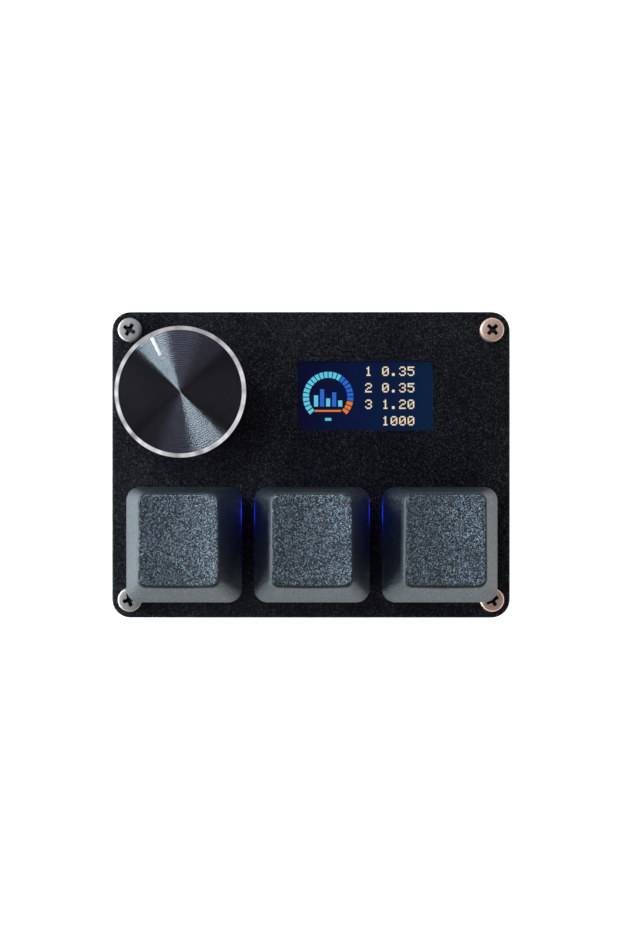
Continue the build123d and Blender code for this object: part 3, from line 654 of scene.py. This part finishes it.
knob = {
    "rim": 0.62 * mm,       # width of the bright bevel
    "rimDrop": 0.31 * mm,   # its height
    "roof": 1.2 * mm,
    "wall": 1.5 * mm,
    "footRound": 0.3 * mm,
    "boreBevel": 0.2 * mm,
    "centre": 0.2 * mm,     # radius of the innermost ring
    "steps": 192,
    "faceSlope": 0.95,      # faces are the turned face where their normal's z is above this
    "bevelSlope": 0.3,      # and the bevel where it is above this
    "pointerAngle": 27.8,   # degrees from the rear towards the left
    "pointer": (6.25 * mm, 9.22 * mm),
    "pointerWidth": 0.5 * mm,
    "pointerDepth": 0.2 * mm,
    "pointerProud": 0.015 * mm,
    "pointerBevel": 0.012 * mm,
}


def makeKnob(materials):
    # The hollow shell, turned from its profile, with its own finishes on the face and the bevel
    radius = (knobHigh.x - knobLow.x) / 2
    top, low = knobHigh.z, knobLow.z
    bore, face = radius - knob["wall"], radius - knob["rim"]
    bend, bevel = knob["footRound"], knob["boreBevel"]
    profile = [(bore, top - knob["roof"]), (bore, low + bevel), (bore + bevel, low),
               (radius - bend, low), (radius - 0.3 * bend, low + 0.3 * bend), (radius, low + bend),
               (radius, top - knob["roof"]), (radius, top - knob["rimDrop"]), (face, top),
               (face * 0.75, top), (face * 0.5, top), (face * 0.25, top), (knob["centre"], top)]
    bm = bmesh.new()
    spinProfile(bm, profile, knobCentre, knob["steps"])
    bmesh.ops.holes_fill(bm, edges=[e for e in bm.edges if e.is_boundary], sides=0)
    bmesh.ops.recalc_face_normals(bm, faces=bm.faces)
    for patch in bm.faces:
        if patch.normal.z > knob["faceSlope"]:
            patch.material_index = 1
        elif patch.normal.z > knob["bevelSlope"]:
            patch.material_index = 2
    return finishPiece(bm, "knob_turned_shell", "knob", materials, ["knob_shell"],
                       sharpAngle=20)


def makePointer(material):
    # The enamelled line near the face's edge, a hair proud of it
    inner, outer = knob["pointer"]
    depth, proud = knob["pointerDepth"], knob["pointerProud"]
    bm = bmesh.new()
    bmesh.ops.create_cube(bm, size=1)
    bmesh.ops.scale(bm, vec=(knob["pointerWidth"], outer - inner, depth), verts=bm.verts)
    middle = (0, (inner + outer) / 2, knobHigh.z + proud - depth / 2)
    bmesh.ops.translate(bm, vec=middle, verts=bm.verts)
    tops = [e for e in bm.edges if all(v.co.z > knobHigh.z for v in e.verts)]
    bmesh.ops.bevel(bm, geom=tops, offset=knob["pointerBevel"], offset_type="OFFSET", affect="EDGES",
                    segments=2, profile=0.5, material=-1)
    turn = Matrix.Rotation(radians(knob["pointerAngle"]), 3, "Z")
    bmesh.ops.rotate(bm, cent=(0, 0, 0), matrix=turn, verts=bm.verts)
    bmesh.ops.translate(bm, vec=(knobCentre.x, knobCentre.y, 0), verts=bm.verts)
    return finishPiece(bm, "pointer_enamel", "knob", [material], ["knob_pointer"])


screw = {
    "headRadius": 1.9 * mm,
    "headHeight": 1.25 * mm,
    "edgeRound": 0.32 * mm,
    "crown": 0.03 * mm,         # rise from the rounding to the flat
    "underBevel": 0.06 * mm,
    "shankRadius": 0.95 * mm,
    "length": 5 * mm,
    "tipTaper": 0.3 * mm,
    "flatRadius": 1.05 * mm,    # of the flat round the recess
    "recessReach": 1.04 * mm,   # half the cross
    "recessHalf": 0.3 * mm,     # half an arm's width
    "recessCorner": 0.11 * mm,  # cut off each inner corner
    "recessDepth": 0.75 * mm,
    "recessTaper": 0.62,        # size at the bottom
    "turns": (60, 45, 14, 30),  # degrees: rear left, rear right, front left, front right
}


def makeScrewMesh():
    # One pan-head screw, head up, with the underside of its head at height 0 and a cross recess
    radius, height, shank = screw["headRadius"], screw["headHeight"], screw["shankRadius"]
    bend, under, tip = screw["edgeRound"], screw["underBevel"], -screw["length"]
    rounded = [(radius - bend * (1 - cos(a)), height - screw["crown"] - bend * (1 - sin(a)))
               for a in [radians(x) for x in (0, 22.5, 45, 67.5, 90)]]
    profile = [(0, tip), (shank * 0.7, tip), (shank, tip + screw["tipTaper"]), (shank, 0),
               (radius - under, 0), (radius, under), *rounded, (screw["flatRadius"], height)]
    bm = bmesh.new()
    spinProfile(bm, profile, Vector((0, 0, 0)), 64)
    rim = [e for e in bm.edges if e.is_boundary]
    reach, half, corner = screw["recessReach"], screw["recessHalf"], screw["recessCorner"]
    points = [(reach, -half), (reach, half), (half + corner, half), (half, half + corner)]
    turned = [Matrix.Rotation(quarter * pi / 2, 2) @ Vector(point)
              for quarter in range(4) for point in points]
    verts = [bm.verts.new((x, y, height)) for x, y in turned]
    cross = [bm.edges.new(pair) for pair in zip(verts, verts[1:] + verts[:1])]
    bmesh.ops.triangle_fill(bm, use_beauty=True, edges=rim + cross)
    made = bmesh.ops.extrude_edge_only(bm, edges=cross)["geom"]
    taper, recessFloor = screw["recessTaper"], height - screw["recessDepth"]
    for vert in [g for g in made if isinstance(g, bmesh.types.BMVert)]:
        vert.co = (vert.co.x * taper, vert.co.y * taper, recessFloor)
    floorEdges = [g for g in made if isinstance(g, bmesh.types.BMEdge) and g.is_boundary]
    inside = [g for g in made if isinstance(g, bmesh.types.BMFace)]
    inside += bmesh.ops.edgeloop_fill(bm, edges=floorEdges)["faces"]
    # The recess's faces take the second material, painted darker as shade
    for patch in inside:
        patch.material_index = 1
    bmesh.ops.recalc_face_normals(bm, faces=bm.faces)
    mesh = bpy.data.meshes.new("oneScrew")
    bm.to_mesh(mesh)
    bm.free()
    return mesh


def makeScrews(name, node, oneScrew, materials, flip, turns):
    # Four copies of the screw in the case's corners, in one piece
    low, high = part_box(node)
    radius = screw["headRadius"]
    bm = bmesh.new()
    places = [(x, y) for y in (high.y - radius, low.y + radius)
              for x in (low.x + radius, high.x - radius)]
    seat = high.z - screw["headHeight"] if not flip else low.z + screw["headHeight"]
    for (x, y), turn in zip(places, turns):
        before = set(bm.verts)
        bm.from_mesh(oneScrew)
        new = [v for v in bm.verts if v not in before]
        matrix = Matrix.Rotation(radians(turn), 4, "Z")
        if flip:
            matrix = Matrix.Rotation(pi, 4, "X") @ matrix
        bmesh.ops.transform(bm, matrix=Matrix.Translation((x, y, seat)) @ matrix, verts=new)
    return finishPiece(bm, name, "case", materials, [node], sharpAngle=32)


picture = {
    "centre": (8.75 * mm, 11.1 * mm),  # of the display's lit window
    "size": (21.7 * mm, 10.9 * mm),
    "lift": 0.012 * mm,       # above the glass
    "rows": ("1 0.35", "2 0.35", "3 1.20", "  1000"),
    "dot": 0.215 * mm,        # one dot of a figure
    "rowPitch": 2.68 * mm,
    "figurePitch": 6.4,       # dots
    "textPlace": (10.9 * mm, 0.62 * mm),  # from the window's rear left corner, as the gauge's centre is
    "gaugeCentre": (4.9 * mm, 5.55 * mm),
    "gaugeRadii": (0.76 * 4.1 * mm, 4.1 * mm),
    "gaugeSweep": (135, 270),  # degrees: its start and its length
    "gaugeSteps": 24,
    "gaugeLit": (0.08, 0.86),  # part of each step that is drawn
    "gaugeLimits": (15, 21),   # steps where the next colour starts
    "bars": (0.55, 0.85, 0.4, 0.7, 0.3),  # shares of the full height
    "barSize": (0.66 * mm, 3.3 * mm),
    "barPitch": 0.98 * mm,
    "barMiddle": 2.35,         # bars left of the gauge's centre
    "barFoot": 1.55 * mm,      # in front of the gauge's centre
    # Strips in front of the bars: place from the gauge's centre, width and height in mm, colour
    "strips": ((-2.2, 2.1, 4.3, 0.3, 3), (-0.5, 3.4, 1.0, 0.45, 1)),
}

figures = {
    "0": "01110 10001 10011 10101 11001 10001 01110",
    "1": "00100 01100 00100 00100 00100 00100 01110",
    "2": "01110 10001 00001 00110 01000 10000 11111",
    "3": "01110 10001 00001 00110 00001 10001 01110",
    "5": "11111 10000 11110 00001 00001 10001 01110",
    ".": "00000 00000 00000 00000 00000 01100 01100",
}


def makePicture(materials):
    # A plain display: a round gauge with level bars at the left, rows of figures at the right
    level = glassHigh.z + picture["lift"]
    left = picture["centre"][0] - picture["size"][0] / 2
    rear = picture["centre"][1] + picture["size"][1] / 2
    bm = bmesh.new()

    def patch(points, kind):
        face = bm.faces.new([bm.verts.new((left + x, rear - y, level)) for x, y in points])
        face.material_index = kind

    def tile(x, y, width, height, kind):
        patch([(x, y), (x, y + height), (x + width, y + height), (x + width, y)], kind)

    dot, (textLeft, textTop) = picture["dot"], picture["textPlace"]
    for line, text in enumerate(picture["rows"]):
        for place, figure in enumerate(text):
            for row, cells in enumerate(figures.get(figure, "").split()):
                for column, lit in enumerate(cells):
                    if lit == "1":
                        x = textLeft + (place * picture["figurePitch"] + column) * dot
                        y = textTop + line * picture["rowPitch"] + row * dot
                        tile(x, y, dot, dot, 0)
    centreX, centreY = picture["gaugeCentre"]
    inner, outer = picture["gaugeRadii"]
    start, sweep = picture["gaugeSweep"]
    for step in range(picture["gaugeSteps"]):
        a, b = (radians(start + (step + part) * sweep / picture["gaugeSteps"])
                for part in picture["gaugeLit"])
        ends = [(centreX + r * cos(angle), centreY + r * sin(angle))
                for r, angle in ((inner, a), (outer, a), (outer, b), (inner, b))]
        patch(ends, 1 + sum(step >= limit for limit in picture["gaugeLimits"]))
    barWidth, barHeight = picture["barSize"]
    for step, share in enumerate(picture["bars"]):
        x = centreX + (step - picture["barMiddle"]) * picture["barPitch"]
        tall = barHeight * share
        tile(x, centreY + picture["barFoot"] - tall, barWidth, tall, 2 if step % 2 else 1)
    for x, y, width, height, kind in picture["strips"]:
        tile(centreX + x * mm, centreY + y * mm, width * mm, height * mm, kind)
    bmesh.ops.recalc_face_normals(bm, faces=bm.faces)
    return finishPiece(bm, "screen_picture", "case", materials)


capMaterials = [sandedPbt("wall"), sandedPbt("rim"), sandedPbt("top")]
for key in keys:
    bm, foot, onWall = makeCap(key)
    hollowCap(bm, key, foot, onWall, [e for e in bm.edges if e.is_boundary])
    leakGlow(bm, foot)
    bmesh.ops.recalc_face_normals(bm, faces=bm.faces)
    for patch in bm.faces:
        patch.material_index = sum(patch.normal.z > cap[slope] for slope in ("rimSlope", "topSlope"))
    finishPiece(bm, key + "_keycap", key, capMaterials, [key + "_cap"], sharpAngle=40)
print("keycaps ready")

makeKnob([satinAnodising(), turnedAluminium(), diamondCut()])
makePointer(whiteEnamel())
print("knob ready")

# The second finish is the same nickel painted darker: painted shade inside the cross recesses
nickel = [nickelSteel("nickel-plated steel", "#f4f0ee", "#cecac6", (0.5, 0.64)),
          nickelSteel("nickel recess with painted shade", "#6a6560", "#3a3632", (0.32, 0.5))]
oneScrew = makeScrewMesh()
makeScrews("plate_pan_screws", "plate_screws", oneScrew, nickel, False, screw["turns"])
makeScrews("base_pan_screws", "base_screws", oneScrew, nickel, True, (0, 0, 0, 0))
print("screws ready")

makePicture([litPixel("cream display dots", "#ffe9c4"), litPixel("cyan display dots", "#5fd4f0"),
             litPixel("blue display dots", "#2a6bd8"), litPixel("orange display dots", "#f0802c")])
print("picture ready")

# Pieces that keep the frame's shape, by the material each is made of
blasted = blastedAluminium()
moulded = mouldedBlack()
dress("top_plate", blasted)
dress("bottom_plate", blasted)
dress("middle_frame", moulded)
dress("screen_panel", litGlass())
dress("key_leds", lampLens())
for key in keys:
    dress(key + "_housing_top", clearPolycarbonate(key))
madeOf = {
    "nitrile rubber": ["rubber_feet"],
    "turned brass": ["standoffs"],
    "black solder mask": ["circuit_board"],
    "moulded epoxy": ["controller_chip", "hall_sensors", "board_parts"],
    "rolled stainless sheet": ["usb_shell", "encoder_cover", "encoder_detent_spring", "encoder_dome"],
    "black polyester tray": ["screen_bezel"],
    "closed-cell foam": ["screen_pad", "screen_gasket"],
    "amber polyimide": ["screen_flex"],
    "natural nylon": ["flex_connector"],
    "glass-filled nylon": ["usb_tongue", "encoder_base", "encoder_rotor", "encoder_plunger",
                           "knob_insert"] + [key + "_housing_base" for key in keys],
    "turned zinc": ["encoder_bush", "encoder_shaft"],
    "tinned copper": ["encoder_pins"],
    "acetal": [key + "_stem" for key in keys],
    "plated magnet": [key + "_magnet" for key in keys],
    "plated spring wire": [key + "_spring" for key in keys],
}
for finish, pieces in madeOf.items():
    material = smallFinish(finish)
    for name in pieces:
        dress(name, material)

# Pieces that shorten with a joint: a welded copy of each, with a mesh of its own, takes its place on the
# case
for joint in frame["record"]["behaviour"]["joints"]:
    for flexing in joint.get("deforming_nodes", []):
        node = flexing["node"]
        bm = bmesh.new()
        bm.from_mesh(nodes[node].data)
        bmesh.ops.remove_doubles(bm, verts=bm.verts, dist=1e-7)
        bmesh.ops.recalc_face_normals(bm, faces=bm.faces)
        material = nodes[node].data.materials[0]
        piece = finishPiece(bm, node + "_flexing", "case", [material], [node])
        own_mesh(piece)

undressed = [name for name, node in nodes.items() if not node.hide_render and not node.data.materials]
print("materials on the frame's own pieces, without one:", undressed)

studio = {
    "floor": "#dce9ec",
    "floorHalf": 1.5,
    "floorDrop": 0.02 * mm,     # below the feet
    "floorGlow": (0.42, 1.15),  # the light that it gives the pad, at the left and at the right
    "floorReach": 60 * mm,      # from the middle to where those two hold
    "floorSeen": 0.97,          # what the camera sees of it
    "backdrop": "#ffffff",
    # By the sine of elevation: white walls all round, and a dim ceiling above about 47 degrees
    "sky": [(0.0, "#ffffff"), (0.7, "#f8f8fa"), (0.76, "#34333e"), (1.0, "#2f2e33")],
    "skyLight": (0.9, 0.585),   # in front of the pad and behind it
    "skyPatches": 7.0,          # scale of the room's unevenness, and its strengths
    "skyPatchLight": (0.4, 1.45),
    # Soft boxes: azimuth from +X, elevation, distance, width and height, watts, colour
    "boxes": {
        "key box": (129, 61, 0.6, (0.105, 0.1), 0.6, "#e0f6ff"),
        "rear box": (104.5, 61, 0.6, (0.147, 0.1), 0.14, "#dadfff"),
        "far box": (77, 61, 0.6, (0.14, 0.1), 0.07, "#dadfff"),
        "left card": (178, 8, 0.35, (0.4, 0.07), 5.0, "#f0f8ff"),
    },
}


def softBox(name, azimuth, elevation, distance, size, watts, colour):
    # A soft rectangle that faces the plate; azimuth is counted from +X towards +Y
    data = bpy.data.lights.new(name, "AREA")
    data.shape = "RECTANGLE"
    data.size, data.size_y = size
    data.energy = watts
    data.color = linear(colour)[:3]
    light = bpy.data.objects.new(name, data)
    a, e = radians(azimuth), radians(elevation)
    away = Vector((cos(a) * cos(e), sin(a) * cos(e), sin(e)))
    light.location = Vector((0, 0, plateTop)) + away * distance
    light.rotation_euler = away.to_track_quat("Z", "Y").to_euler()
    light.visible_camera = False
    bpy.context.scene.collection.objects.link(light)


floorMesh = bpy.data.meshes.new("floor")
bm = bmesh.new()
bmesh.ops.create_grid(bm, x_segments=1, y_segments=1, size=studio["floorHalf"])
bmesh.ops.translate(bm, vec=(0, 0, -studio["floorDrop"]), verts=bm.verts)
bm.to_mesh(floorMesh)
bm.free()
floor = bpy.data.objects.new("floor", floorMesh)
bpy.context.scene.collection.objects.link(floor)
paper, tree, place = newMaterial("pale floor")
paperSeen = addNode(tree, "LightPath").outputs["Is Camera Ray"]
across = addNode(tree, "SeparateXYZ", None, Vector=place).outputs["X"]
(glowLeft, glowRight), reach = studio["floorGlow"], studio["floorReach"]
given = addNode(tree, "MapRange",
                {"From Min": -reach, "From Max": reach, "To Min": glowLeft, "To Max": glowRight},
                Value=across)
strength = addNode(tree, "MapRange", {"To Max": studio["floorSeen"]}, Value=paperSeen, To_Min=given)
lit = addNode(tree, "BsdfPrincipled", {
    "Roughness": 0.9, "Specular IOR Level": 0.0, "Base Color": linear(studio["floor"]),
    "Emission Color": linear("#ffffff")}, Emission_Strength=strength)
clear = addNode(tree, "BsdfTransparent")
fromBelow = addNode(tree, "NewGeometry").outputs["Backfacing"]
sheet = addNode(tree, "MixShader", None, _0=fromBelow, _1=lit, _2=clear)
addNode(tree, "OutputMaterial", None, Surface=sheet)
floorMesh.materials.append(paper)

world = bpy.data.worlds.new("studio")
bpy.context.scene.world = world
world.use_nodes = True
sky = world.node_tree
sky.nodes.clear()
direction = addNode(sky, "TexCoord").outputs["Generated"]
axes = addNode(sky, "SeparateXYZ", None, Vector=direction).outputs
tone = addNode(sky, "ValToRGB", {"stops": studio["sky"]}, Fac=axes["Z"])
frontSky, rearSky = studio["skyLight"]
level = addNode(sky, "MapRange", {"To Min": frontSky, "To Max": rearSky}, Value=axes["Y"])
uneven = addNode(sky, "TexNoise", {"Scale": studio["skyPatches"], "Detail": 4.0}, Vector=direction)
room = addNode(sky, "MapRange", noiseTo(*studio["skyPatchLight"]), Value=uneven)
strength = addNode(sky, "Math", {"operation": "MULTIPLY"}, _0=level, _1=room)
surround = addNode(sky, "Background", None, Color=tone, Strength=strength)
backdrop = addNode(sky, "Background", {"Color": linear(studio["backdrop"])})
seen = addNode(sky, "LightPath").outputs["Is Camera Ray"]
both = addNode(sky, "MixShader", None, _0=seen, _1=surround, _2=backdrop)
addNode(sky, "OutputWorld", None, Surface=both)

for name, placing in studio["boxes"].items():
    softBox(name, *placing)

overhead = {
    "place": Vector((-0.00007, -0.00011, 0.2004)),
    "lens": 44.64,
    "sensor": 36.0,
}
cameraData = bpy.data.cameras.new("overhead camera")
cameraData.lens = overhead["lens"]
cameraData.sensor_width = overhead["sensor"]
cameraData.clip_start = 0.01
camera = bpy.data.objects.new("overhead camera", cameraData)
camera.location = overhead["place"]
bpy.context.scene.collection.objects.link(camera)
bpy.context.scene.camera = camera
bpy.context.scene.view_settings.view_transform = "Standard"
print("studio ready")
